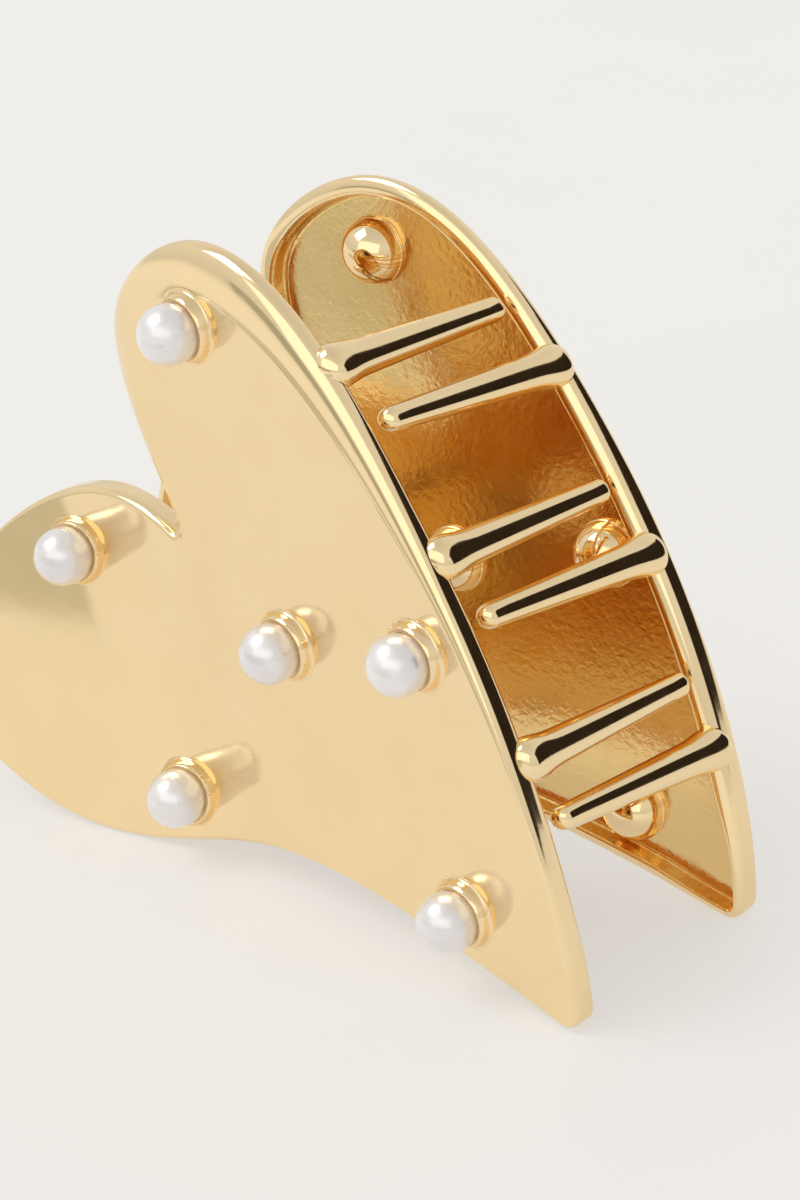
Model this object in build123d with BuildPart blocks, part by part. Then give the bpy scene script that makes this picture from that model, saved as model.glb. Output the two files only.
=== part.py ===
"""Heart-shaped claw clip: two sprung jaws with interleaved teeth, six rivet-set pearls on each.

Frame: +Z up, z = 0 is the table that the clip stands on (on its two tips and the two handle lobes).
X runs from the handle lobes (-X) to the tips (+X). The front jaw is on -Y and the back jaw on +Y.
Within a jaw, u runs square to the hinge towards the teeth, v runs along the hinge and h is the
distance outwards from the middle plane y = 0. All sizes are in millimetres.
"""
from build123d import *
from math import atan, cos, radians, sin, tan
import os

os.makedirs("parts", exist_ok=True)

# ---- heart outline, seen from the front (X, Z) ------------------------------------------------
TIP = (41.4, -0.27)              # sharp corner of the tip before it is rounded
NOTCH = (-9.1, 33.7)             # bottom of the notch between the lobes
TEETH_SIDE = [(36.0, 22.0), (21.0, 48.1), (-8.0, 66.4), (-18.8, 56.8)]
HANDLE_SIDE = [(-25.0, 36.2), (-41.0, 13.5), (-22.0, 0.15), (-4.0, 2.6), (10.0, 4.2), (27.0, 2.4)]
TEETH_SIDE_ENDS = [(-0.04, 1), (0.45, -0.89)]
HANDLE_SIDE_ENDS = [(-0.80, 0.60), (1, -0.2)]
END_SCALE = (1, 1)               # weight of the two end directions
SPLINE_TOLERANCE = 0.002         # of the inset outline
TIP_RADIUS = 1.6
NOTCH_RADIUS = 0.8

# ---- section of a jaw ---------------------------------------------------------------------------
HINGE_TILT = 34.0                # slope of the u direction above the horizontal, degrees
TRAY_DEPTH = 3.2                 # from the rim to the outer face
FLOOR = 1.2                      # thickness of the face plate
WALL = 1.3                       # thickness of the side wall
BORDER = 1.1                     # rounding of the outer edge
BEND_U = -1.3                    # u of the bend where the handle starts to turn outwards
BEND_RIM = 7.7                   # h of the rim at the bend
SPREAD = 0.10                    # slope of the jaw away from the middle plane, towards the teeth
FLARE = 0.28                     # slope of the handle lobe, away from the middle plane
BEND_RADIUS = 30.0
OUTER_NORMAL = -0.5              # y of the normal of a face that looks outwards, at most
REACH = 75.0                     # longer than a jaw, in u and in v
PRISM = 32.0                     # deeper than a jaw, from the middle plane

# ---- teeth --------------------------------------------------------------------------------------
TOOTH_WIDTH = 3.4
TOOTH_THICKNESS = 3.4
TOOTH_CORNER = 1.5
TOOTH_TAPER = 1.35               # degrees a side
TOOTH_END_RADIUS = 0.9
TOOTH_ROOT = 1.6                 # how far the tooth reaches down the side wall from the rim
TOOTH_SHORT = 1.2                # distance from the tooth's end to the rim of the other jaw
TOOTH_INSET = 0.6                # tooth axis inside the outline
TOOTH_PITCH = 20.2
FRONT_FIRST_TOOTH = 27.4         # distance along the outline from the tip
BACK_FIRST_TOOTH = 18.6
FRONT_TOOTH_LEAN = 2.9           # lean of a tooth along v, degrees
BACK_TOOTH_LEAN = -4.9
TEETH = 3

# ---- hinge --------------------------------------------------------------------------------------
HINGE_U = 6.2
HINGE_V = -20.8
PIN_RADIUS = 0.8
RUNNING_CLEARANCE = 0.05
PIN_HEAD_RADIUS = 1.35
PIN_HEAD = 0.6
PIN_END = 0.6                    # pin beyond the last lug
LUG_RADIUS = 2.4
LUG_FOOT = 8.0
LUG_FOOT_HEIGHT = 1.0
LUG_FOOT_SINK = 0.25             # middle of the foot below the inside of the face plate
LUG_THICKNESS = 2.6
LUG_GAP = 0.4
LUG_INNER = 4.8                  # v from the hinge centre to the first lug
SPRING_RADIUS = 2.0
SPRING_WIRE = 0.7
SPRING_TURNS = 7
SPRING_LENGTH = 7.7
LEG_ANGLE = 38.5                 # between a spring leg and the handle direction, degrees
LEG_LENGTH = 12.3

# ---- pearls, each in a cup with a shank and a domed cap behind ----------------------------------
PEARL_SPOTS = [(-6.0, 58.9), (-25.5, 29.3), (4.7, 28.6), (22.7, 33.9), (-11.0, 6.5), (27.3, 7.8)]
PEARL_RADIUS = 3.0
PEARL_RISE = 2.35                # pearl centre above the face
GLUE_GAP = 0.03
CUP_RADIUS = 3.45
CUP_RISE = 1.15
CUP_EDGE = 0.12                  # rounding of the cup's outer edge
LIP_RADIUS = 3.2                 # mouth of the cup
LIP_DEPTH = 0.5
BOSS_RADIUS = 2.1
SHANK_RADIUS = 0.8
SHANK_LENGTH = 2.2
CAP_RADIUS = 3.5

U_DIR = Vector(cos(radians(HINGE_TILT)), 0, sin(radians(HINGE_TILT)))
V_DIR = Vector(sin(radians(HINGE_TILT)), 0, -cos(radians(HINGE_TILT)))
OUT = Vector(0, -1, 0)           # outwards on the front jaw


def section_plane(v):
    """Plane across the hinge at v: its local x is u and its local y is h of the front jaw."""
    return Plane(origin=V_DIR * v, x_dir=U_DIR, z_dir=V_DIR)


def rim_height(u):
    """h of the rim at u, with the bend taken as a sharp corner."""
    slope = SPREAD if u > BEND_U else -FLARE
    return BEND_RIM + slope * (u - BEND_U)


def surface_plane(spot):
    """Plane on the outer face of the front jaw at spot (X, Z), with its normal outwards."""
    u = spot[0] * U_DIR.X + spot[1] * U_DIR.Z
    teeth_turn, handle_turn = atan(SPREAD), atan(FLARE)
    tangent_run = BEND_RADIUS * tan((teeth_turn + handle_turn) / 2)
    bend_start = BEND_U + tangent_run * cos(teeth_turn)
    bend_end = BEND_U - tangent_run * cos(handle_turn)
    if bend_end < u < bend_start:
        centre_u = bend_start - BEND_RADIUS * sin(teeth_turn)
        centre_h = rim_height(bend_start) + BEND_RADIUS * cos(teeth_turn)
        turn_sin = (u - centre_u) / BEND_RADIUS
        turn_cos = (1 - turn_sin**2) ** 0.5
        slope, height = turn_sin / turn_cos, centre_h - BEND_RADIUS * turn_cos
    else:
        slope, height = (SPREAD if u > BEND_U else -FLARE), rim_height(u)
    normal = (OUT - U_DIR * slope).normalized()
    return Plane(origin=(spot[0], -(height + TRAY_DEPTH), spot[1]), x_dir=V_DIR, z_dir=normal)


def slab(low, high):
    """Section of a jaw between two heights above the rim."""
    corners = (REACH, BEND_U, -REACH)
    with BuildSketch(section_plane(-REACH)) as section:
        with BuildLine():
            upper = FilletPolyline(*[(u, rim_height(u) + high) for u in corners], radius=BEND_RADIUS)
            lower = FilletPolyline(*[(u, rim_height(u) + low) for u in corners], radius=BEND_RADIUS)
            Line(upper @ 0, lower @ 0)
            Line(upper @ 1, lower @ 1)
        make_face()
    return section.sketch


def make_tooth(distance, lean):
    """Tooth of the front jaw at a distance along the teeth side of the outline."""
    spot = teeth_side.position_at(distance, position_mode=PositionMode.LENGTH)
    along = teeth_side.tangent_at(distance, position_mode=PositionMode.LENGTH)
    inward = OUT.cross(along).normalized()
    foot = spot + inward * TOOTH_INSET
    rim = rim_height(foot.dot(U_DIR))
    root = Plane(origin=(foot.X, -(rim + TOOTH_ROOT), foot.Z), x_dir=along, z_dir=(0, 1, 0))
    with BuildPart() as tooth:
        with BuildSketch(root):
            RectangleRounded(TOOTH_WIDTH, TOOTH_THICKNESS, TOOTH_CORNER)
        extrude(amount=TOOTH_ROOT + 2 * rim - TOOTH_SHORT, taper=TOOTH_TAPER)
        fillet(tooth.faces().sort_by(Axis.Y)[-1].edges(), TOOTH_END_RADIUS)
        fillet(tooth.faces().sort_by(Axis.Y)[0].edges(), TOOTH_END_RADIUS)
    return tooth.part.rotate(Axis(root.origin, U_DIR), -lean)


def make_lug(v_start):
    """Hinge lug of the front jaw, from v_start (measured from the hinge centre) along v."""
    foot_height = rim_height(HINGE_U) + TRAY_DEPTH - FLOOR + LUG_FOOT_SINK
    with BuildPart() as lug:
        with BuildSketch(section_plane(HINGE_V + v_start)):
            with Locations((HINGE_U, 0)):
                Circle(LUG_RADIUS)
            with Locations((HINGE_U, foot_height)):
                Rectangle(LUG_FOOT, LUG_FOOT_HEIGHT)
            make_hull()
        extrude(amount=LUG_THICKNESS)
    return lug.part


def make_pin_hole(radius):
    """Hole through every lug."""
    with BuildPart() as hole:
        with BuildSketch(section_plane(HINGE_V - REACH / 2)):
            with Locations((HINGE_U, 0)):
                Circle(radius)
        extrude(amount=REACH)
    return hole.part


def make_cup(spot):
    """Cup of the front jaw: flange on the face, boss through the plate and a shank behind it."""
    with BuildPart(surface_plane(spot)) as cup:
        Cylinder(CUP_RADIUS, CUP_RISE, align=(Align.CENTER, Align.CENTER, Align.MIN))
        fillet(cup.edges().filter_by(GeomType.CIRCLE).sort_by(Axis.Y)[0], CUP_EDGE)
        Cylinder(BOSS_RADIUS, FLOOR, align=(Align.CENTER, Align.CENTER, Align.MAX))
        Cylinder(SHANK_RADIUS, FLOOR + SHANK_LENGTH, align=(Align.CENTER, Align.CENTER, Align.MAX))
        with Locations((0, 0, CUP_RISE)):
            Cylinder(LIP_RADIUS, LIP_DEPTH, align=(Align.CENTER, Align.CENTER, Align.MAX),
                     mode=Mode.SUBTRACT)
        with Locations((0, 0, PEARL_RISE)):
            Sphere(PEARL_RADIUS + GLUE_GAP, mode=Mode.SUBTRACT)
    return cup.part


def make_cup_seat(spot):
    """Material taken out of the front jaw's plate for a cup."""
    with BuildPart(surface_plane(spot)) as seat:
        Cylinder(CUP_RADIUS, CUP_RISE, align=(Align.CENTER, Align.CENTER, Align.MIN))
        Cylinder(BOSS_RADIUS, TRAY_DEPTH, align=(Align.CENTER, Align.CENTER, Align.MAX))
    return seat.part


def make_pearl(spot):
    """Pearl of the front jaw."""
    with BuildPart(surface_plane(spot)) as pearl:
        with Locations((0, 0, PEARL_RISE)):
            Sphere(PEARL_RADIUS)
    return pearl.part


def make_cap(spot):
    """Domed cap on the inside of the front jaw, pressed onto the cup's shank."""
    with BuildPart(surface_plane(spot)) as cap:
        with Locations((0, 0, -FLOOR)):
            Sphere(CAP_RADIUS, arc_size1=-90, arc_size2=0,
                   align=(Align.CENTER, Align.CENTER, Align.MAX))
            Cylinder(SHANK_RADIUS, SHANK_LENGTH, align=(Align.CENTER, Align.CENTER, Align.MAX),
                     mode=Mode.SUBTRACT)
    return cap.part


def save(part, name):
    """Label a finished piece and write it."""
    part.label = name
    export_step(part, f"parts/{name}.step")


# ---- tray of the front jaw ----------------------------------------------------------------------
with BuildLine(Plane.XZ) as teeth_line:
    Spline(TIP, *TEETH_SIDE, NOTCH, tangents=TEETH_SIDE_ENDS, tangent_scalars=END_SCALE)
teeth_side = teeth_line.edge()

with BuildSketch(Plane.XZ) as heart:
    with BuildLine():
        Spline(TIP, *TEETH_SIDE, NOTCH, tangents=TEETH_SIDE_ENDS, tangent_scalars=END_SCALE)
        Spline(NOTCH, *HANDLE_SIDE, TIP, tangents=HANDLE_SIDE_ENDS, tangent_scalars=END_SCALE)
    make_face()
    fillet(heart.vertices().sort_by(Axis.X)[-1], TIP_RADIUS)
    fillet(heart.vertices().sort_by(Axis.X)[0], NOTCH_RADIUS)

with BuildSketch(Plane.XZ) as inset:
    add(heart.sketch_local)
    offset(amount=-WALL, mode=Mode.REPLACE)

with BuildPart() as hollow:
    extrude(inset.sketch.face().to_splines(tolerance=SPLINE_TOLERANCE), amount=PRISM)
    extrude(slab(-TRAY_DEPTH, TRAY_DEPTH - FLOOR), amount=2 * REACH, mode=Mode.INTERSECT)

with BuildPart() as tray:
    extrude(heart.sketch, amount=PRISM)
    extrude(slab(0, TRAY_DEPTH), amount=2 * REACH, mode=Mode.INTERSECT)
    outer_faces = tray.faces().filter_by(lambda face: face.normal_at().Y < OUTER_NORMAL)
    fillet(outer_faces.edges().filter_by(lambda edge: outer_faces.edges().count(edge) == 1), BORDER)
    add(hollow.part, mode=Mode.SUBTRACT)

seats = [make_cup_seat(spot) for spot in PEARL_SPOTS]
lug_slots = (LUG_INNER, LUG_INNER + LUG_THICKNESS + LUG_GAP)

# ---- jaws: one moulding each, with its teeth and two hinge lugs --------------------------------
with BuildPart() as front_jaw:
    add(tray.part)
    add([make_tooth(FRONT_FIRST_TOOTH + TOOTH_PITCH * place, FRONT_TOOTH_LEAN)
         for place in range(TEETH)])
    add(make_lug(-lug_slots[1] - LUG_THICKNESS))
    add(make_lug(lug_slots[0]))
    add(seats, mode=Mode.SUBTRACT)
    add(make_pin_hole(PIN_RADIUS), mode=Mode.SUBTRACT)

with BuildPart() as back_jaw:
    add(tray.part)
    add([make_tooth(BACK_FIRST_TOOTH + TOOTH_PITCH * place, BACK_TOOTH_LEAN)
         for place in range(TEETH)])
    add(make_lug(-lug_slots[0] - LUG_THICKNESS))
    add(make_lug(lug_slots[1]))
    add(seats, mode=Mode.SUBTRACT)
    add(make_pin_hole(PIN_RADIUS + RUNNING_CLEARANCE), mode=Mode.SUBTRACT)
    mirror(about=Plane.XZ, mode=Mode.REPLACE)

# ---- hinge pin and torsion spring ---------------------------------------------------------------
pin_start = HINGE_V - lug_slots[1] - LUG_THICKNESS
with BuildPart() as hinge_pin:
    with BuildSketch(section_plane(pin_start)):
        with Locations((HINGE_U, 0)):
            Circle(PIN_RADIUS)
    extrude(amount=2 * (lug_slots[1] + LUG_THICKNESS) + PIN_END)
    with BuildSketch(section_plane(pin_start)):
        with Locations((HINGE_U, 0)):
            Circle(PIN_HEAD_RADIUS)
    extrude(amount=-PIN_HEAD)

spring_start = section_plane(HINGE_V - SPRING_LENGTH / 2)
spring_frame = Plane(origin=spring_start.from_local_coords((HINGE_U, 0, 0)), z_dir=V_DIR,
                     x_dir=U_DIR.rotate(Axis((0, 0, 0), V_DIR), LEG_ANGLE - 90))
coil_turns = SPRING_TURNS + 2 * (90 - LEG_ANGLE) / 360
with BuildPart() as torsion_spring:
    with BuildLine() as wire:
        coil = Helix(pitch=SPRING_LENGTH / coil_turns, height=SPRING_LENGTH, radius=SPRING_RADIUS)
        Line(coil @ 0 - (coil % 0) * LEG_LENGTH, coil @ 0)
        Line(coil @ 1, coil @ 1 + (coil % 1) * LEG_LENGTH)
    with BuildSketch(Plane(origin=wire.line @ 0, z_dir=wire.line % 0)):
        Circle(SPRING_WIRE / 2)
    sweep(path=wire.wires()[0])

# ---- pearls, cups and caps ------------------------------------------------------------------------
for number, spot in enumerate(PEARL_SPOTS, start=1):
    for kind, make in (("pearl", make_pearl), ("pearl_cup", make_cup), ("rivet_cap", make_cap)):
        piece = make(spot)
        save(piece, f"front_{kind}_{number}")
        save(mirror(piece, about=Plane.XZ), f"back_{kind}_{number}")

save(front_jaw.part, "front_jaw")
save(back_jaw.part, "back_jaw")
save(hinge_pin.part, "hinge_pin")
save(spring_frame.location * torsion_spring.part, "torsion_spring")
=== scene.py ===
"""Looks of the heart-shaped claw clip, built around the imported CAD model.

Lengths are in millimetres up to the point where a mesh is made. Within a jaw, u runs square to the
hinge towards the teeth, v runs along the hinge, and k is the height outwards from the jaw's rim.
"""
import bpy
import numpy as np
from math import atan, cos, pi, radians, sin, tan
from mathutils import Matrix, Vector
from mathutils.geometry import delaunay_2d_cdt


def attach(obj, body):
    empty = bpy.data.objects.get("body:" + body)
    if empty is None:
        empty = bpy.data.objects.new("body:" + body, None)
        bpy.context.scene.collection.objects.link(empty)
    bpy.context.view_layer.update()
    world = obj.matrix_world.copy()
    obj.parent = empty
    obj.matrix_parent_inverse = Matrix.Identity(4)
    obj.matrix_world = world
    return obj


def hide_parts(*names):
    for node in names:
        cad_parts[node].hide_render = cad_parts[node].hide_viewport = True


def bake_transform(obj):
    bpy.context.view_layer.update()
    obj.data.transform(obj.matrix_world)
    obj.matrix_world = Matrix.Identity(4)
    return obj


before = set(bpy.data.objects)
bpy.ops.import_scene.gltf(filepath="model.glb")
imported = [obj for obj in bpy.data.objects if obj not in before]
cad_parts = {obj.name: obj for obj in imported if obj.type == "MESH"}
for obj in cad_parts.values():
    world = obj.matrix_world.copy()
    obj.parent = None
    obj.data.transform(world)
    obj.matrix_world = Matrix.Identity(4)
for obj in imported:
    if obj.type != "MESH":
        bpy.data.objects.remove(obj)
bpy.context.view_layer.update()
MM = 0.001

# ---- dimensions shared with the CAD model --------------------------------------------------------
TIP, NOTCH = (41.4, -0.27), (-9.1, 33.7)
TEETH_SIDE = [(36.0, 22.0), (21.0, 48.1), (-8.0, 66.4), (-18.8, 56.8)]
HANDLE_SIDE = [(-25.0, 36.2), (-41.0, 13.5), (-22.0, 0.15), (-4.0, 2.6), (10.0, 4.2), (27.0, 2.4)]
TEETH_SIDE_ENDS = [(-0.04, 1), (0.45, -0.89)]
HANDLE_SIDE_ENDS = [(-0.80, 0.60), (1, -0.2)]
TIP_RADIUS, NOTCH_RADIUS = 1.6, 0.8
HINGE_TILT, TRAY_DEPTH, FLOOR = 34.0, 3.2, 1.2
BEND_U, BEND_RIM, SPREAD, FLARE, BEND_RADIUS = -1.3, 7.7, 0.10, 0.28, 30.0
TOOTH_ROOT, TOOTH_SHORT, TOOTH_INSET, TOOTH_PITCH = 1.6, 1.2, 0.6, 20.2
TEETH = 3
FIRST_TOOTH = {"front": 27.4, "back": 18.6}
TOOTH_LEAN = {"front": 0.05, "back": -0.085}      # shift along the hinge per length
HINGE_U, HINGE_V = 6.2, -20.8
LUG_RADIUS, LUG_FOOT, LUG_THICKNESS, LUG_GAP, LUG_INNER = 2.4, 8.0, 2.6, 0.4, 4.8
LUG_FOOT_SINK = 0.25
PIN_RADIUS, PIN_HEAD_RADIUS, PIN_HEAD, PIN_END, PIN_EDGE = 0.8, 1.35, 0.6, 0.6, 0.15
SPRING_RADIUS, SPRING_WIRE, SPRING_TURNS, SPRING_LENGTH = 2.0, 0.7, 7, 7.7
LEG_ANGLE, LEG_LENGTH = 38.5, 12.3
PEARL_SPOTS = [(-6.0, 58.9), (-25.5, 29.3), (4.7, 28.6), (22.7, 33.9), (-11.0, 6.5), (27.3, 7.8)]
PEARL_RADIUS, PEARL_RISE = 3.0, 2.35
CUP_RADIUS, CUP_RISE, LIP_RADIUS, BOSS_RADIUS = 3.45, 1.15, 3.2, 2.1
SHANK_RADIUS, SHANK_LENGTH, CAP_RADIUS = 0.8, 2.2, 3.5
SIDES = {"front": -1.0, "back": 1.0}

U = np.array([cos(radians(HINGE_TILT)), 0, sin(radians(HINGE_TILT))])
V = np.array([sin(radians(HINGE_TILT)), 0, -cos(radians(HINGE_TILT))])
FLAT = [0, 2]                           # the parts of a 3-D point that lie in the outline's plane

# ---- camera --------------------------------------------------------------------------------------
VIEW_AZ, VIEW_EL, VIEW_ROLL = 41.92, 26.02, -1.26      # degrees
FOCAL_PX, IMAGE_LONG = 3375.7, 1200
LOOK_X, LOOK_Y, DISTANCE, TARGET_Z = 5.739, -2.719, 334.69, 30.0
SENSOR = 36.0


# ---- outline -------------------------------------------------------------------------------------
CURVE_POINTS, CORNER_POINTS, OUTLINE_POINTS = 3000, 24, 760


def distances(curve):
    """Distance along a polyline at each of its points."""
    return np.concatenate([[0], np.cumsum(np.linalg.norm(np.diff(curve, axis=0), axis=1))])


def clamped_spline(points, start, end, count):
    """Cubic spline through the points with chord-length parameters and unit end directions."""
    p = np.array(points, float)
    t = distances(p)
    n, h = len(p), np.diff(t)
    matrix, rhs = np.eye(n), np.zeros((n, 2))
    rhs[0] = np.array(start) / np.linalg.norm(start)
    rhs[-1] = np.array(end) / np.linalg.norm(end)
    for i in range(1, n - 1):
        matrix[i, i - 1:i + 2] = h[i], 2 * (h[i - 1] + h[i]), h[i - 1]
        rhs[i] = 3 * (h[i] * (p[i] - p[i - 1]) / h[i - 1] + h[i - 1] * (p[i + 1] - p[i]) / h[i])
    m = np.linalg.solve(matrix, rhs)
    s = np.linspace(0, t[-1], count)
    k = np.clip(np.searchsorted(t, s, side="right") - 1, 0, n - 2)
    x = ((s - t[k]) / h[k])[:, None]
    hk = h[k][:, None]
    return ((2 * x**3 - 3 * x**2 + 1) * p[k] + (x**3 - 2 * x**2 + x) * hk * m[k]
            + (3 * x**2 - 2 * x**3) * p[k + 1] + (x**3 - x**2) * hk * m[k + 1])


def left_normals(curve):
    """Unit normals on the left of a polyline."""
    d = np.gradient(curve, axis=0)
    d /= np.linalg.norm(d, axis=1)[:, None]
    return np.stack([-d[:, 1], d[:, 0]], 1)


def loop_normals(loop):
    """Unit normals on the left of a closed loop."""
    return left_normals(np.vstack([loop[-1:], loop, loop[:1]]))[1:-1]


def round_corner(before, after, radius, turn):
    """Parts of two curves that meet in a corner, and the arc that joins them.

    turn is 1 where the arc's centre is on the left.
    """
    centres = before + turn * radius * left_normals(before)
    for i in range(len(before) - 2, 0, -1):
        gaps = np.linalg.norm(after - centres[i], axis=1)
        if gaps.min() >= radius:
            break
    j = int(gaps.argmin())
    a, b = before[i] - centres[i], after[j] - centres[i]
    start, sweep = np.arctan2(a[1], a[0]), turn * np.arccos(np.clip(a @ b / radius**2, -1, 1))
    angles = start + sweep * np.linspace(0, 1, CORNER_POINTS)[1:-1]
    arc = centres[i] + radius * np.stack([np.cos(angles), np.sin(angles)], 1)
    return before[:i + 1], arc, after[j:]


def resample(curve, count):
    """Closed curve as evenly spaced points."""
    closed = np.vstack([curve, curve[:1]])
    s = distances(closed)
    at = np.linspace(0, s[-1], count, endpoint=False)
    return np.stack([np.interp(at, s, closed[:, axis]) for axis in (0, 1)], 1)


teeth_curve = clamped_spline([TIP, *TEETH_SIDE, NOTCH], *TEETH_SIDE_ENDS, CURVE_POINTS)
handle_curve = clamped_spline([NOTCH, *HANDLE_SIDE, TIP], *HANDLE_SIDE_ENDS, CURVE_POINTS)
teeth_length = distances(teeth_curve)
head, notch_arc, tail = round_corner(teeth_curve, handle_curve, NOTCH_RADIUS, -1)
tail_cut, tip_arc, head_cut = round_corner(tail, head, TIP_RADIUS, 1)
outline = resample(np.vstack([head_cut, notch_arc, tail_cut, tip_arc]), OUTLINE_POINTS)
inward = loop_normals(outline)


# ---- jaw surfaces --------------------------------------------------------------------------------
def rim_height(u):
    """Height of the rim over the middle plane and its slope, with the rounded bend."""
    turn_a, turn_b = atan(SPREAD), atan(FLARE)
    run = BEND_RADIUS * tan((turn_a + turn_b) / 2)
    start, end = BEND_U + run * cos(turn_a), BEND_U - run * cos(turn_b)
    u = np.asarray(u, float)
    slope = np.where(u > BEND_U, SPREAD, -FLARE)
    height = BEND_RIM + slope * (u - BEND_U)
    centre_u = start - BEND_RADIUS * sin(turn_a)
    centre_h = BEND_RIM + SPREAD * (start - BEND_U) + BEND_RADIUS * cos(turn_a)
    s = np.clip((u - centre_u) / BEND_RADIUS, -0.9, 0.9)
    c = np.sqrt(1 - s**2)
    bent = (u > end) & (u < start)
    return np.where(bent, centre_h - BEND_RADIUS * c, height), np.where(bent, s / c, slope)


def on_jaw(flat, k, side):
    """Points (X, Z) at height k from the rim as 3-D points of one jaw."""
    h, _ = rim_height(flat[:, 0] * U[0] + flat[:, 1] * U[2])
    return np.stack([flat[:, 0], side * (h + k), flat[:, 1]], 1)


def inside(points, loop):
    """Which points lie inside a closed loop."""
    a, b = loop, np.roll(loop, -1, axis=0)
    x, y = points[:, 0][:, None], points[:, 1][:, None]
    crosses = (a[:, 1] > y) != (b[:, 1] > y)
    with np.errstate(divide="ignore", invalid="ignore"):
        at = (b[:, 0] - a[:, 0]) * (y - a[:, 1]) / (b[:, 1] - a[:, 1]) + a[:, 0]
    return (crosses & (x < at)).sum(1) % 2 == 1


GRID_STEP, BEND_STEP = 1.6, 0.5
GRID_U, GRID_V, GRID_BEND = (-46, 60), (-72, 40), (-8, 6)
GRID_CLEARANCE, MERGE_DISTANCE = 0.5, 1e-5


def fill(loop):
    """Triangles over a closed loop: its own points, then those of a grid, finer at the bend."""
    us = np.concatenate([np.arange(GRID_U[0], GRID_BEND[0], GRID_STEP),
                         np.arange(*GRID_BEND, BEND_STEP),
                         np.arange(GRID_BEND[1], GRID_U[1], GRID_STEP)])
    grid = np.array([(u * U[0] + v * V[0], u * U[2] + v * V[2]) for u in us
                     for v in np.arange(*GRID_V, GRID_STEP)])
    keep = inside(grid, loop)
    near = np.array([np.linalg.norm(loop - g, axis=1).min() for g in grid[keep]])
    grid = grid[keep][near > GRID_CLEARANCE]
    points = [Vector(p) for p in np.vstack([loop, grid])]
    made = delaunay_2d_cdt(points, [], [list(range(len(loop)))], 1, MERGE_DISTANCE)
    return np.array([tuple(p) for p in made[0]]), [list(f) for f in made[2]]


# Widths of the rolled border and of the rim, by distance from the tip along the teeth side.
ROLL_AT = [0, 20, 27, 46, 56, 66, 78, 90, 100, 110, 118, 126]
ROLL_WIDTH = [0.5, 0.5, 0.6, 1.3, 2.1, 3.1, 4.4, 4.6, 4.4, 3.6, 1.8, 0.8]
RIM_AT = [0, 6, 14, 110, 120]
RIM_WIDTH = [0.95, 0.95, 1.9, 1.9, 1.4]
PLAIN_ROLL, PLAIN_RIM, TIP_RIM, TIP_REACH = 0.6, 1.4, 0.95, 8.0
ON_CURVE = 0.08                         # a point this near the teeth side's curve belongs to it
BLEND_POINTS = 15                       # outline points to each side over which widths are smoothed


def border_widths():
    """Widths of the rolled border and of the rim at each outline point."""
    widths = np.empty((len(outline), 2))
    for i, p in enumerate(outline):
        gaps = np.linalg.norm(teeth_curve - p, axis=1)
        if gaps.min() < ON_CURVE:
            at = teeth_length[gaps.argmin()]
            widths[i] = np.interp(at, ROLL_AT, ROLL_WIDTH), np.interp(at, RIM_AT, RIM_WIDTH)
        else:
            near_tip = np.linalg.norm(p - TIP) < TIP_REACH
            widths[i] = PLAIN_ROLL, TIP_RIM if near_tip else PLAIN_RIM
    kernel = np.hanning(2 * BLEND_POINTS + 1)
    kernel = kernel / kernel.sum()
    wrapped = np.vstack([widths[-BLEND_POINTS:], widths, widths[:BLEND_POINTS]])
    return np.stack([np.convolve(w, kernel, "valid") for w in wrapped.T], 1)


def arc_points(centre, radius, start, end, count):
    """Section points on an arc, angles in degrees."""
    angles = np.radians(np.linspace(start, end, count))
    return [(centre[0] + radius * np.cos(a), centre[1] + radius * np.sin(a)) for a in angles]


# How far the roll reaches down the wall: at no width, per width, and at most.
ROLL_DROP, ROLL_DROP_RATE, ROLL_DROP_MOST = 0.95, 0.36, 2.3
ROLL_BULGE, ROLL_CROWN, ROLL_POINTS = 0.42, 0.15, 17
# Radii of the floor's fillet and of the rim's inner and outer rounding, per rim width.
FILLET_SHARE, RIM_IN_SHARE, RIM_OUT_SHARE = 0.27, 0.25, 0.72
FILLET_POINTS, RIM_IN_POINTS, RIM_OUT_POINTS = 7, 8, 12
FLOOR_EDGE = (1.5, 1.1)                 # last points of the floor, in fillet radii from the wall
ROLL_CLEARANCE, WALL_END = 0.2, 0.05    # from the rim's rounding to the roll, and wall to both
# The crease is at its full depth where the roll is wider than start and growth together.
CREASE_DEPTH, CREASE_START, CREASE_GROWTH, CREASE_STEP = 0.06, 0.9, 1.5, 0.01
CREASE = ((0.05, 1.0), (0.12, 0.3), (0.2, 0.0), (0.3, 0.0))     # (past the roll, share of depth)
INSIDE_STRIPS = 13                      # the section's strips with the inside finish, floor first


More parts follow.
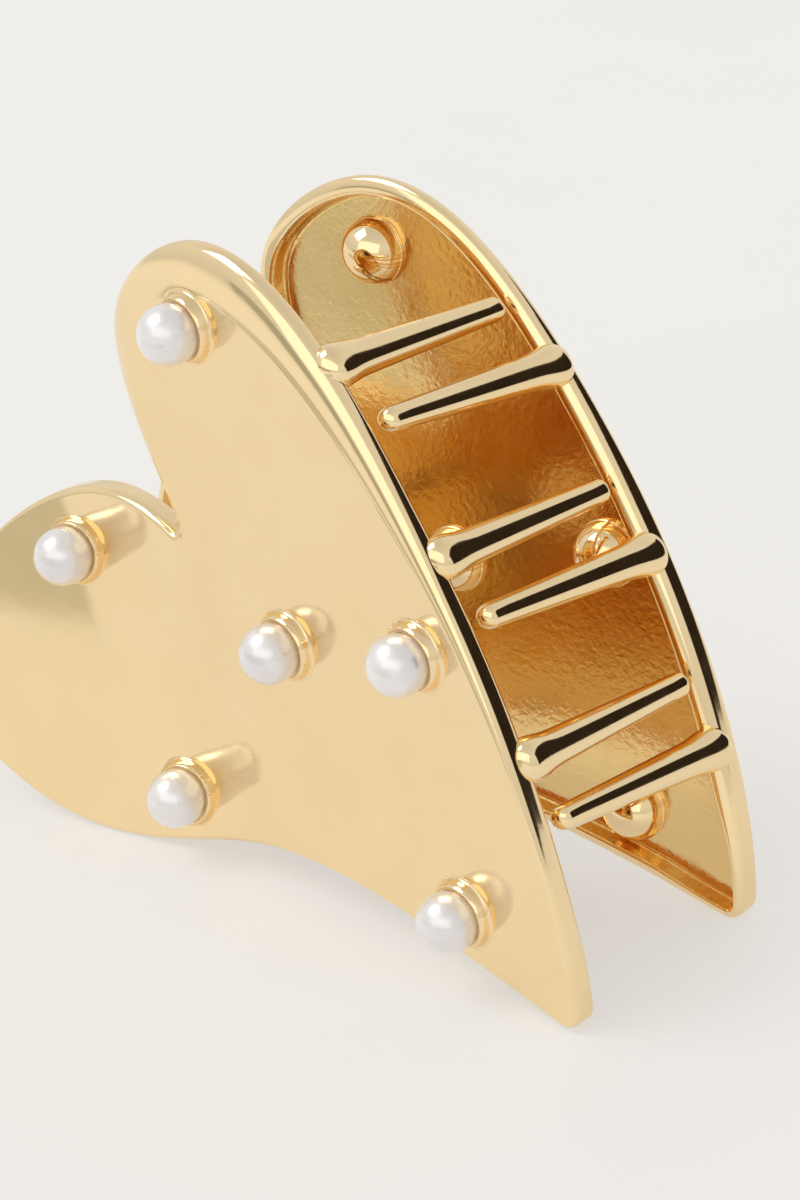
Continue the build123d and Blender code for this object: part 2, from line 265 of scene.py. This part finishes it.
def section(width, rim_width):
    """Jaw section as (distance inside the outline, height from the rim), from floor to face."""
    drop = min(ROLL_DROP_MOST, ROLL_DROP + ROLL_DROP_RATE * width)
    inner, shoulder = TRAY_DEPTH - FLOOR, TRAY_DEPTH - drop
    fillet = FILLET_SHARE * rim_width
    r_in, r_out = RIM_IN_SHARE * rim_width, RIM_OUT_SHARE * rim_width
    first = [(rim_width + reach * fillet, inner) for reach in FLOOR_EDGE]
    low = arc_points((rim_width + fillet, inner - fillet), fillet, 90, 180, FILLET_POINTS)
    rise = min(r_out, shoulder - ROLL_CLEARANCE)
    outer_arc = arc_points((r_out, r_out), r_out, 270, 180, RIM_OUT_POINTS)
    rim = (arc_points((rim_width - r_in, r_in), r_in, 0, -90, RIM_IN_POINTS)
           + [(d, rise * k / r_out) for d, k in outer_arc])
    wall = [(0.0, rise + WALL_END), (0.0, shoulder - WALL_END)]
    corners = np.array([(0, shoulder), (0, TRAY_DEPTH - ROLL_BULGE * drop),
                        (ROLL_BULGE * width, TRAY_DEPTH - ROLL_CROWN * width), (width, TRAY_DEPTH)])
    t = np.linspace(0, 1, ROLL_POINTS)[:, None]
    roll = ((1 - t)**3 * corners[0] + 3 * t * (1 - t)**2 * corners[1]
            + 3 * t**2 * (1 - t) * corners[2] + t**3 * corners[3])[:-1]
    groove = float(np.clip((width - CREASE_START) / CREASE_GROWTH, 0, 1)) * CREASE_DEPTH
    crease = [(width, TRAY_DEPTH - CREASE_STEP - groove)]
    crease += [(width + past, TRAY_DEPTH - share * groove) for past, share in CREASE]
    return np.array(first + low + rim + wall + [tuple(x) for x in roll] + crease)


def new_object(name, data):
    """Object in the scene that holds a mesh, light or camera."""
    made = bpy.data.objects.new(name, data)
    bpy.context.scene.collection.objects.link(made)
    return made


class Pile:
    """Vertices and faces of one mesh, collected in millimetres."""

    def __init__(self):
        self.points, self.faces, self.finish = [], [], []
        self.count = 0

    def add(self, points, faces, finish=0):
        """Adds points and faces. finish is a material's number, or a list of them by face."""
        self.points.append(np.asarray(points, float))
        self.faces += [[i + self.count for i in f] for f in faces]
        self.finish += finish if isinstance(finish, list) else [finish] * len(faces)
        self.count += len(points)

    def close_ends(self, rows, columns, flip=False, finish=0):
        """Faces over the first and last ring of the grid that was added last."""
        base = self.count - rows * columns
        first = list(range(base, base + columns))
        last = list(range(self.count - 1, self.count - columns - 1, -1))
        self.faces += [first[::-1], last[::-1]] if flip else [first, last]
        self.finish += [finish] * 2

    def object(self, name, materials):
        """The collected mesh as a Blender object."""
        mesh = bpy.data.meshes.new(name)
        mesh.from_pydata((np.vstack(self.points) * MM).tolist(), [], self.faces)
        for material in materials:
            mesh.materials.append(material)
        mesh.polygons.foreach_set("material_index", self.finish)
        mesh.polygons.foreach_set("use_smooth", [True] * len(mesh.polygons))
        mesh.validate()
        return new_object(name, mesh)


def quads(rows, columns, closed_rows=True, closed_columns=False, flip=False):
    """Faces of a grid of points, row by row."""
    faces = []
    for i in range(rows if closed_rows else rows - 1):
        for j in range(columns if closed_columns else columns - 1):
            a, b = i * columns + j, i * columns + (j + 1) % columns
            c, d = (i + 1) % rows * columns + (j + 1) % columns, (i + 1) % rows * columns + j
            faces.append([a, d, c, b] if flip else [a, b, c, d])
    return faces


def tube_quads(rows, columns, flip=False):
    """Faces of a grid whose rows are closed rings, open at its two ends."""
    return quads(rows, columns, closed_rows=False, closed_columns=True, flip=flip)


OUTSIDE, INSIDE = 0, 1                  # places in a jaw's list of materials


def add_shell(pile, side):
    """The tray: floor, rim, side wall, rolled border and face."""
    sections = np.array([section(roll, rim) for roll, rim in border_widths()])
    columns = sections.shape[1]
    flat = outline[:, None] + inward[:, None] * sections[:, :, :1]
    points = on_jaw(flat.reshape(-1, 2), sections[:, :, 1].ravel(), side)
    faces = quads(len(outline), columns, flip=side > 0)
    finish = [INSIDE if f % (columns - 1) < INSIDE_STRIPS else OUTSIDE for f in range(len(faces))]
    pile.add(points, faces, finish)
    for loop, k, finish, flip in ((flat[:, 0], TRAY_DEPTH - FLOOR, INSIDE, side < 0),
                                  (flat[:, -1], TRAY_DEPTH, OUTSIDE, side > 0)):
        verts, tris = fill(loop)
        pile.add(on_jaw(verts, k, side), [t[::-1] if flip else t for t in tris], finish)


TOOTH_NOSE, TOOTH_HEEL, TOOTH_START = 1.2, 1.7, -0.5       # rounded end, rounded root, root's place
TOOTH_HALF, TOOTH_TAPER, TOOTH_FLATNESS = 1.93, 0.030, 0.94
SWELL, SWELL_AT, SWELL_REACH, SWELL_DEEP = 0.32, 1.9, 1.7, 0.3
TOOTH_SLUMP, TOOTH_ROUNDNESS, TOOTH_END_SIZE = 0.35, 0.88, 0.001
TOOTH_RINGS, TOOTH_STRAIGHT = [1.6, 2.1, 2.7, 3.4, 4.3, 5.2], 6.5   # near the root, then even
TOOTH_STEPS = 40


def squarish(wave):
    """Sine or cosine of a ring that is slightly squarer than a circle."""
    return np.sign(wave) * abs(wave)**TOOTH_ROUNDNESS


def add_tooth(pile, side, distance, lean):
    """Tooth with a root that swells into the rim and a rounded end."""
    i = int(np.searchsorted(teeth_length, distance))
    tangent = teeth_curve[i + 1] - teeth_curve[i - 1]
    tangent /= np.linalg.norm(tangent)
    normal = np.array([-tangent[1], tangent[0]])
    foot = teeth_curve[i] + normal * TOOTH_INSET
    rim = float(rim_height(foot @ U[FLAT])[0])
    length = TOOTH_ROOT + 2 * rim - TOOTH_SHORT
    nose, heel, start = TOOTH_NOSE, TOOTH_HEEL, TOOTH_START
    at = np.concatenate([start + heel * (1 - np.cos(np.linspace(0.12, pi / 2, 9))), TOOTH_RINGS,
                         np.linspace(TOOTH_STRAIGHT, length - nose, 12),
                         length - nose + nose * np.sin(np.linspace(0.2, pi / 2, 8))])
    around = np.linspace(0, 2 * pi, TOOTH_STEPS, endpoint=False)
    rows = []
    for s in at:
        half = TOOTH_HALF - TOOTH_TAPER * s
        swell = SWELL * np.exp(-((s - SWELL_AT) / SWELL_REACH)**2)
        shrink = 1.0
        if s > length - nose:
            shrink = np.sqrt(max(0.0, 1 - ((s - length + nose) / nose)**2))
            shrink = shrink * (1 - TOOTH_END_SIZE) + TOOTH_END_SIZE
        elif s < start + heel:
            shrink = np.sqrt(max(0.0, 1 - ((start + heel - s) / heel)**2))
        across = (half + swell) * shrink
        deep = (half * TOOTH_FLATNESS + SWELL_DEEP * swell) * shrink
        ring = [(squarish(cos(a)) * across, squarish(sin(a)) * deep) for a in around]
        slump = TOOTH_SLUMP * (1 - shrink)
        y = side * (rim + TOOTH_ROOT - s)
        middle = foot + V[FLAT] * lean * s
        for a, d in ring:
            x, z = middle + tangent * a + normal * (d + slump)
            rows.append((x, y, z))
    pile.add(rows, tube_quads(len(at), TOOTH_STEPS, flip=side < 0))
    pile.close_ends(len(at), TOOTH_STEPS, flip=side < 0)


def hull(points):
    """Convex hull of flat points, counter-clockwise."""
    points = sorted(set(map(tuple, points)))
    halves = []
    for order in (points, points[::-1]):
        chain = []
        for p in order:
            while len(chain) > 1 and ((chain[-1][0] - chain[-2][0]) * (p[1] - chain[-2][1])
                                      <= (chain[-1][1] - chain[-2][1]) * (p[0] - chain[-2][0])):
                chain.pop()
            chain.append(p)
        halves += chain[:-1]
    return np.array(halves)


LUG_EDGE, LUG_FOOT_LOW, LUG_FOOT_HIGH, LUG_STEPS = 0.3, -0.5, 0.4, 96


def add_lug(pile, side, start):
    """Hinge lug with bevelled edges."""
    foot_h = float(rim_height(HINGE_U)[0]) + TRAY_DEPTH - FLOOR + LUG_FOOT_SINK
    circle = [(HINGE_U + LUG_RADIUS * cos(a), LUG_RADIUS * sin(a))
              for a in np.linspace(0, 2 * pi, LUG_STEPS // 2)]
    foot = [(HINGE_U + x, foot_h + y) for x in (-LUG_FOOT / 2, LUG_FOOT / 2)
            for y in (LUG_FOOT_LOW, LUG_FOOT_HIGH)]
    ring = resample(hull(circle + foot), LUG_STEPS)
    normals = loop_normals(ring)
    bevel = ((0, LUG_EDGE), (0.3 * LUG_EDGE, 0.3 * LUG_EDGE), (LUG_EDGE, 0))
    layers = [*bevel, *((LUG_THICKNESS - v, sink) for v, sink in bevel[::-1])]
    rows = []
    for v, sink in layers:
        for u, h in ring + normals * sink:
            p = U * u + V * (HINGE_V + start + v)
            rows.append((p[0], side * h, p[2]))
    pile.add(rows, tube_quads(len(layers), LUG_STEPS, flip=side > 0), INSIDE)
    pile.close_ends(len(layers), LUG_STEPS, flip=side > 0, finish=INSIDE)


# ---- pieces turned about an axis -----------------------------------------------------------------
def spot_frame(spot, side):
    """Origin and axes of a pearl's place on a jaw's face, the last axis outwards."""
    h, slope = rim_height(spot[0] * U[0] + spot[1] * U[2])
    out = np.array([0, side, 0]) - U * float(slope)
    out /= np.linalg.norm(out)
    origin = np.array([spot[0], side * (float(h) + TRAY_DEPTH), spot[1]])
    return origin, V, np.cross(out, V), out


def add_turned(pile, profile, axes, steps=72, ripple=None):
    """Profile of (radius, height) turned about the last axis. It starts and ends on the axis.

    ripple gives the share by which a point is pushed out at an angle and height.
    """
    origin, ax, ay, az = axes
    angles = np.linspace(0, 2 * pi, steps, endpoint=False)
    rows = []
    for r, z in profile[1:-1]:
        for a in angles:
            push = 1 + (ripple(a, z) if ripple else 0)
            rows.append(origin + push * r * (cos(a) * ax + sin(a) * ay) + z * az)
    count = len(profile) - 2
    faces = tube_quads(count, steps)
    ends = [origin + profile[0][1] * az, origin + profile[-1][1] * az]
    a, b, top = len(rows), len(rows) + 1, (count - 1) * steps
    for i in range(steps):
        j = (i + 1) % steps
        faces += [[a, j, i], [b, top + i, top + j]]
    pile.add(rows + ends, faces)


SUPPORT = 0.02


def rounded(a, corner, b, radius=0.08, count=4):
    """Points of a profile that go round a corner, with a supporting point on each side."""
    a, corner, b = map(np.array, (a, corner, b))
    p = corner + (a - corner) / np.linalg.norm(a - corner) * radius
    q = corner + (b - corner) / np.linalg.norm(b - corner) * radius
    t = np.linspace(0, 1, count)
    ahead = (corner - a) / np.linalg.norm(corner - a) * SUPPORT
    beyond = (b - corner) / np.linalg.norm(b - corner) * SUPPORT
    bend = [tuple((1 - x)**2 * p + 2 * x * (1 - x) * corner + x**2 * q) for x in t]
    return [tuple(p - ahead)] + bend + [tuple(q + beyond)]


def soft_profile(corners, radius=0.08):
    """Profile with rounded corners. The first and last points stay."""
    points = [corners[0]]
    for a, c, b in zip(corners, corners[1:], corners[2:]):
        points += rounded(a, c, b, radius)
    return points + [corners[-1]]


def sphere_profile(radius, centre, start, end, count):
    """Arc of a ball's profile between two angles from its lowest point, in degrees."""
    return [(radius * sin(a), centre - radius * cos(a))
            for a in np.radians(np.linspace(start, end, count))]


def pearl_profile():
    """Ball from its lowest point to its highest."""
    ball = sphere_profile(PEARL_RADIUS, PEARL_RISE, 3, 177, 60)
    return [(0.0, PEARL_RISE - PEARL_RADIUS), *ball, (0.0, PEARL_RISE + PEARL_RADIUS)]


def smooth_profile(points, count):
    """Smooth line through profile points."""
    p = np.array(points)
    return [tuple(q) for q in clamped_spline(points, p[1] - p[0], p[-1] - p[-2], count)]


BOWL_CLEARANCE, MOUTH_SHARE = 0.03, 0.965       # round the pearl; mouth's radius over the pearl's
MOUTH, BOWL_EDGE = np.degrees(np.arcsin(MOUTH_SHARE)), 8        # degrees up the pearl, and back down


def cup_profile():
    """Shank, boss, rounded skirt, lip and bowl, from the inner end to the bowl's middle."""
    bowl = PEARL_RADIUS + BOWL_CLEARANCE
    shank_end = -FLOOR - SHANK_LENGTH
    hidden = [(0.0, shank_end), (SHANK_RADIUS, shank_end), (SHANK_RADIUS, -FLOOR),
              (BOSS_RADIUS, -FLOOR), (BOSS_RADIUS, -0.1), (CUP_RADIUS + 0.4, -0.06)]
    skirt = [(CUP_RADIUS + 0.38, 0.0), (CUP_RADIUS + 0.2, 0.05), (CUP_RADIUS + 0.07, 0.2),
             (CUP_RADIUS, 0.42), (CUP_RADIUS - 0.06, 0.66), (CUP_RADIUS - 0.15, 0.9),
             (LIP_RADIUS - 0.01, 1.07), (LIP_RADIUS - 0.1, CUP_RISE), (LIP_RADIUS - 0.19, 1.1),
             (LIP_RADIUS - 0.22, 1.0)]
    return (soft_profile(hidden)[:-1] + smooth_profile(skirt, 40)
            + sphere_profile(bowl, PEARL_RISE, MOUTH - BOWL_EDGE, 4, 14)
            + [(0.0, PEARL_RISE - bowl)])


CAP_SLIMNESS, CAP_FOOT = 0.985, 0.34    # dome's width over its foot's, and height of the foot


def cap_profile():
    """Dome with a narrow foot, from the plate side to the dome's top."""
    dome = [(CAP_RADIUS * CAP_SLIMNESS * cos(a), -FLOOR - CAP_RADIUS * sin(a))
            for a in np.radians(np.linspace(9, 88, 34))]
    foot = soft_profile([(0.0, -FLOOR), (CAP_RADIUS, -FLOOR), (CAP_RADIUS, -FLOOR - CAP_FOOT),
                         (CAP_RADIUS * 0.972, -FLOOR - 0.42)], 0.06)
    return foot + dome + [(0.0, -FLOOR - CAP_RADIUS)]


TUBE_START, TUBE_END_SIZE = [0.3, 0.5, 0.81], 0.72      # any direction that isn't the wire's


def tube(pile, path, radius, steps=14):
    """Closed tube along a smooth path."""
    path = np.array(path)
    d = np.gradient(path, axis=0)
    d /= np.linalg.norm(d, axis=1)[:, None]
    normal = np.cross(d[0], TUBE_START)
    rows = []
    angles = np.linspace(0, 2 * pi, steps, endpoint=False)
    scales = np.ones(len(path))
    scales[[0, -1]] = TUBE_END_SIZE
    for p, t, scale in zip(path, d, scales):
        normal = normal - t * (normal @ t)
        normal /= np.linalg.norm(normal)
        other = np.cross(t, normal)
        rows += [p + radius * scale * (cos(a) * normal + sin(a) * other) for a in angles]
    pile.add(rows, tube_quads(len(path), steps, flip=True))
    pile.close_ends(len(path), steps)


COIL_POINTS, LEG_POINTS, LEG_START = 380, 30, 0.3


def spring_path():
    """Centre line of the torsion spring: a leg, the coil and a leg."""
    x = U * cos(radians(LEG_ANGLE - 90)) + np.cross(V, U) * sin(radians(LEG_ANGLE - 90))
    y = np.cross(V, x)
    origin = U * HINGE_U + V * (HINGE_V - SPRING_LENGTH / 2)
    turns = SPRING_TURNS + 2 * (90 - LEG_ANGLE) / 360
    sweep = np.linspace(0, 2 * pi * turns, COIL_POINTS)
    coil = [origin + SPRING_RADIUS * (cos(a) * x + sin(a) * y) + V * SPRING_LENGTH * a / sweep[-1]
            for a in sweep]
    first, last = coil[0] - coil[1], coil[-1] - coil[-2]
    first, last = first / np.linalg.norm(first), last / np.linalg.norm(last)
    reach = np.linspace(LEG_LENGTH, LEG_START, LEG_POINTS)
    return ([coil[0] + first * r for r in reach] + coil
            + [coil[-1] + last * r for r in reach[::-1]])


# ---- materials -----------------------------------------------------------------------------------
class Nodes:
    """Short way to build a material's node tree."""

    def __init__(self, name):
        self.material = bpy.data.materials.new(name)
        self.material.use_nodes = True
        self.tree = self.material.node_tree
        self.shader = self.tree.nodes["Principled BSDF"]
        self.place = self.tree.nodes.new("ShaderNodeTexCoord").outputs["Object"]

    def set(self, **values):
        """Sets the shader's own sockets."""
        for key, value in values.items():
            self.shader.inputs[key.replace("_", " ")].default_value = value

    def link(self, a, b):
        self.tree.links.new(a, b)

    def noise(self, size_mm, detail=2.0, stretch=(1, 1, 1), warp=0.0):
        """Noise whose grains are about size_mm across."""
        mapping = self.tree.nodes.new("ShaderNodeMapping")
        mapping.inputs["Scale"].default_value = stretch
        self.link(self.place, mapping.inputs["Vector"])
        node = self.tree.nodes.new("ShaderNodeTexNoise")
        node.inputs["Scale"].default_value = 1 / (size_mm * MM)
        node.inputs["Detail"].default_value = detail
        node.inputs["Distortion"].default_value = warp
        self.link(mapping.outputs[0], node.inputs["Vector"])
        return node.outputs["Fac"]

    def spread(self, value, low, high, at=(0.3, 0.7)):
        """Value mapped between low and high."""
        node = self.tree.nodes.new("ShaderNodeMapRange")
        for key, number in zip(("From Min", "From Max", "To Min", "To Max"), (*at, low, high)):
            node.inputs[key].default_value = number
        self.link(value, node.inputs["Value"])
        return node.outputs["Result"]

    def colour(self, value, dark, light, at=(0.3, 0.7)):
        """Colour between dark and light."""
        node = self.tree.nodes.new("ShaderNodeValToRGB")
        for element, position, shade in zip(node.color_ramp.elements, at, (dark, light)):
            element.position, element.color = position, (*shade, 1)
        self.link(value, node.inputs["Fac"])
        return node.outputs["Color"]

    def bump(self, value, depth_mm, over=None):
        """Bumps of a given depth, over other bumps if there are any."""
        node = self.tree.nodes.new("ShaderNodeBump")
        node.inputs["Distance"].default_value = depth_mm * MM
        node.inputs["Strength"].default_value = 1.0
        self.link(value, node.inputs["Height"])
        if over is not None:
            self.link(over, node.inputs["Normal"])
        return node.outputs["Normal"]


def gold(name, dark, light, rough, wave, grain):
    """Bright gold plating: slow moulding waves and a fine grain, each as (size, depth) in mm."""
    n = Nodes(name)
    n.set(Metallic=1.0)
    n.link(n.colour(n.noise(9, 3), dark, light), n.shader.inputs["Base Color"])
    n.link(n.spread(n.noise(2.2, 4), *rough), n.shader.inputs["Roughness"])
    waves = n.bump(n.noise(wave[0], 1.0), wave[1])
    fine = n.bump(n.noise(grain[0], 2.5, warp=0.4), grain[1], over=waves)
    n.link(fine, n.shader.inputs["Normal"])
    return n.material


gold_face = gold("gold_face", (0.945, 0.735, 0.425), (0.97, 0.765, 0.46), rough=(0.075, 0.12),
                 wave=(7.0, 0.012), grain=(0.5, 0.0012))
gold_inside = gold("gold_inside", (0.86, 0.62, 0.27), (0.90, 0.67, 0.33), rough=(0.13, 0.2),
                   wave=(5.0, 0.008), grain=(0.7, 0.034))
gold_fitting = gold("gold_fitting", (0.94, 0.71, 0.40), (0.97, 0.76, 0.46), rough=(0.05, 0.10),
                    wave=(2.5, 0.006), grain=(0.3, 0.001))

n = Nodes("pearl")
n.set(Metallic=0.45, Coat_Weight=0.9, Coat_Roughness=0.16, Specular_IOR_Level=0.6)
n.link(n.colour(n.noise(4.0, 2, warp=0.6), (0.83, 0.80, 0.815), (0.90, 0.885, 0.885)),
       n.shader.inputs["Base Color"])
n.link(n.spread(n.noise(1.1, 3), 0.24, 0.36), n.shader.inputs["Roughness"])
n.link(n.bump(n.noise(1.2, 1), 0.003), n.shader.inputs["Normal"])
pearl = n.material

n = Nodes("steel")
n.set(Metallic=1.0)
n.link(n.colour(n.noise(1.5, 3), (0.50, 0.49, 0.47), (0.66, 0.65, 0.63)),
       n.shader.inputs["Base Color"])
n.link(n.spread(n.noise(0.4, 4, stretch=(1, 4, 1)), 0.2, 0.38), n.shader.inputs["Roughness"])
n.link(n.bump(n.noise(0.15, 2, stretch=(1, 5, 1)), 0.004), n.shader.inputs["Normal"])
steel = n.material

# ---- pieces --------------------------------------------------------------------------------------
LUG_SLOTS = (LUG_INNER, LUG_INNER + LUG_THICKNESS + LUG_GAP)
LUG_STARTS = {"front": (-LUG_SLOTS[1] - LUG_THICKNESS, LUG_SLOTS[0]),
              "back": (-LUG_SLOTS[0] - LUG_THICKNESS, LUG_SLOTS[1])}
DETAILS = (("pearl", "pearl", pearl_profile(), pearl),
           ("pearl_cup", "gold_fitting", cup_profile(), gold_fitting),
           ("rivet_cap", "gold_fitting", cap_profile(), gold_fitting))


def finish_piece(piece, body, node):
    """Body and replaced node of a rigid piece."""
    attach(piece, body)
    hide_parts(node)


RIPPLE, RIPPLE_RATE, PHASE_STEP = 0.004, 0.6, 1.7


def pearl_ripple(phase):
    """Slight unevenness of a pearl, different for each phase."""
    return lambda a, z: RIPPLE * sin(2 * a + phase) * cos(RIPPLE_RATE * z + phase)


for body, side in SIDES.items():
    pile = Pile()
    add_shell(pile, side)
    for index in range(TEETH):
        add_tooth(pile, side, FIRST_TOOTH[body] + TOOTH_PITCH * index, TOOTH_LEAN[body])
    for start in LUG_STARTS[body]:
        add_lug(pile, side, start)
    finish_piece(pile.object(f"{body}_jaw_shell", [gold_face, gold_inside]), body,
                 f"{body}_jaw")
    for number, spot in enumerate(PEARL_SPOTS, start=1):
        for kind, slot, profile, material in DETAILS:
            pile = Pile()
            axes = spot_frame(spot, side)
            ripple = pearl_ripple(number * PHASE_STEP + side) if kind == "pearl" else None
            add_turned(pile, profile, axes, ripple=ripple)
            finish_piece(pile.object(f"{body}_{kind}_{number}_shape", [material]), body,
                         f"{body}_{kind}_{number}")

pile = Pile()
pin_middle = U * HINGE_U + V * HINGE_V
pin_low, pin_high = -LUG_SLOTS[1] - LUG_THICKNESS, LUG_SLOTS[1] + LUG_THICKNESS + PIN_END
pin_profile = [(0.0, pin_low - PIN_HEAD), (PIN_HEAD_RADIUS, pin_low - PIN_HEAD),
               (PIN_HEAD_RADIUS, pin_low), (PIN_RADIUS, pin_low),
               (PIN_RADIUS, pin_high), (0.0, pin_high)]
add_turned(pile, soft_profile(pin_profile, PIN_EDGE), (pin_middle, U, np.cross(V, U), V))
finish_piece(pile.object("hinge_pin_shape", [steel]), "front", "hinge_pin")

pile = Pile()
tube(pile, spring_path(), SPRING_WIRE / 2)
spring = pile.object("torsion_spring_wire", [steel])
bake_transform(spring)
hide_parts("torsion_spring")

# ---- floor, light and camera ---------------------------------------------------------------------
n = Nodes("floor")
n.set(Roughness=0.55, Specular_IOR_Level=0.15, Emission_Strength=0.50)
n.shader.inputs["Emission Color"].default_value = (1.0, 0.99, 0.965, 1)
n.link(n.colour(n.noise(60, 2), (0.375, 0.365, 0.35), (0.39, 0.38, 0.365)),
       n.shader.inputs["Base Color"])
n.link(n.bump(n.noise(0.8, 2), 0.004), n.shader.inputs["Normal"])
FLOOR_SIZE, FLOOR_LEVEL = 12.0, -0.00002        # metres, the level just under the clip


def panel(name, width, height, material, level=0):
    """Flat rectangle, its sizes in metres."""
    mesh = bpy.data.meshes.new(name)
    w, h = width / 2, height / 2
    mesh.from_pydata([(-w, -h, level), (w, -h, level), (w, h, level), (-w, h, level)], [],
                     [[0, 1, 2, 3]])
    mesh.materials.append(material)
    return new_object(name, mesh)


def turn_to(thing, centre, aim, axis):
    """Puts an object at a place in metres, with one of its axes towards a point."""
    thing.location = centre
    thing.rotation_euler = (Vector(aim) - Vector(centre)).to_track_quat(axis, "Y").to_euler()


floor = panel("floor", FLOOR_SIZE, FLOOR_SIZE, n.material, FLOOR_LEVEL)
MIDDLE = (0, 0, 0.03)                   # middle of the clip, in metres


def card(name, centre, width, height, shade, facing=MIDDLE):
    """Studio card that shows only in reflections."""
    material = bpy.data.materials.new(name)
    material.use_nodes = True
    nodes = material.node_tree.nodes
    nodes.remove(nodes["Principled BSDF"])
    glow = nodes.new("ShaderNodeEmission")
    glow.inputs["Color"].default_value = (*shade, 1)
    material.node_tree.links.new(glow.outputs[0], nodes["Material Output"].inputs["Surface"])
    plate = panel(name, width, height, material)
    turn_to(plate, centre, facing, "Z")
    for flag in ("visible_camera", "visible_diffuse", "visible_shadow", "visible_transmission",
                 "visible_volume_scatter"):
        setattr(plate, flag, False)


card("dark_flag", (0.95, 1.05, 0.48), 1.7, 0.96, (0.022, 0.015, 0.010))
card("front_low", (-0.07, -0.115, 0.014), 0.26, 0.028, (0.60, 0.60, 0.54), facing=(-0.07, 0, 0.014))
card("front_far", (-0.3, -1.3, 0.10), 1.4, 0.16, (0.42, 0.42, 0.37), facing=(-0.1, 0, 0.10))
card("front_soft", (0.30, -1.1, 0.62), 1.9, 0.8, (1.30, 1.29, 1.22))

world = bpy.data.worlds.new("studio")
bpy.context.scene.world = world
world.use_nodes = True
tree = world.node_tree
back = tree.nodes["Background"]
direction = tree.nodes.new("ShaderNodeTexCoord")
split = tree.nodes.new("ShaderNodeSeparateXYZ")
tree.links.new(direction.outputs["Generated"], split.inputs[0])
ramp = tree.nodes.new("ShaderNodeValToRGB")
remap = tree.nodes.new("ShaderNodeMapRange")
remap.inputs["From Min"].default_value = -1.0
tree.links.new(split.outputs["Z"], remap.inputs["Value"])
tree.links.new(remap.outputs["Result"], ramp.inputs["Fac"])
SKY_LOW, SKY_HIGH = (0.80, 0.79, 0.77), (0.78, 0.775, 0.76)
SKY_BETWEEN = ((0.5, (0.84, 0.835, 0.82)), (0.72, (0.97, 0.965, 0.95)))
SKY_STRENGTH = 0.84
ramp.color_ramp.elements[0].color = (*SKY_LOW, 1)
ramp.color_ramp.elements[1].color = (*SKY_HIGH, 1)
for position, shade in SKY_BETWEEN:
    ramp.color_ramp.elements.new(position).color = (*shade, 1)
tree.links.new(ramp.outputs["Color"], back.inputs["Color"])
back.inputs["Strength"].default_value = SKY_STRENGTH

KEY_PLACE, KEY_SIZE, KEY_POWER, KEY_SHADE = (-0.7, -0.6, 1.1), 0.7, 5.5, (1.0, 0.98, 0.95)
key = bpy.data.lights.new("key", "AREA")
key.shape, key.size, key.size_y = "RECTANGLE", KEY_SIZE, KEY_SIZE
key.energy, key.color = KEY_POWER, KEY_SHADE
turn_to(new_object("key", key), KEY_PLACE, MIDDLE, "-Z")

camera_data = bpy.data.cameras.new("camera")
camera = new_object("camera", camera_data)
az, el, roll = radians(VIEW_AZ), radians(VIEW_EL), radians(VIEW_ROLL)
away = Vector((sin(az) * cos(el), -cos(az) * cos(el), sin(el)))
level = Vector((cos(az), sin(az), 0))
upright = away.cross(level)
right = level * cos(roll) + upright * sin(roll)
up = upright * cos(roll) - level * sin(roll)
stand = Vector((0, 0, TARGET_Z)) + right * LOOK_X + up * LOOK_Y + away * DISTANCE
facing = Matrix((right, up, away)).transposed().to_4x4()
camera.matrix_world = Matrix.Translation(stand * MM) @ facing
camera_data.sensor_fit = "AUTO"
camera_data.sensor_width = SENSOR
camera_data.lens = FOCAL_PX * SENSOR / IMAGE_LONG
camera_data.clip_start, camera_data.clip_end = 0.01, 50
bpy.context.scene.camera = camera
bpy.context.scene.view_settings.view_transform = "Standard"
bpy.context.scene.cycles.glossy_bounces = 10
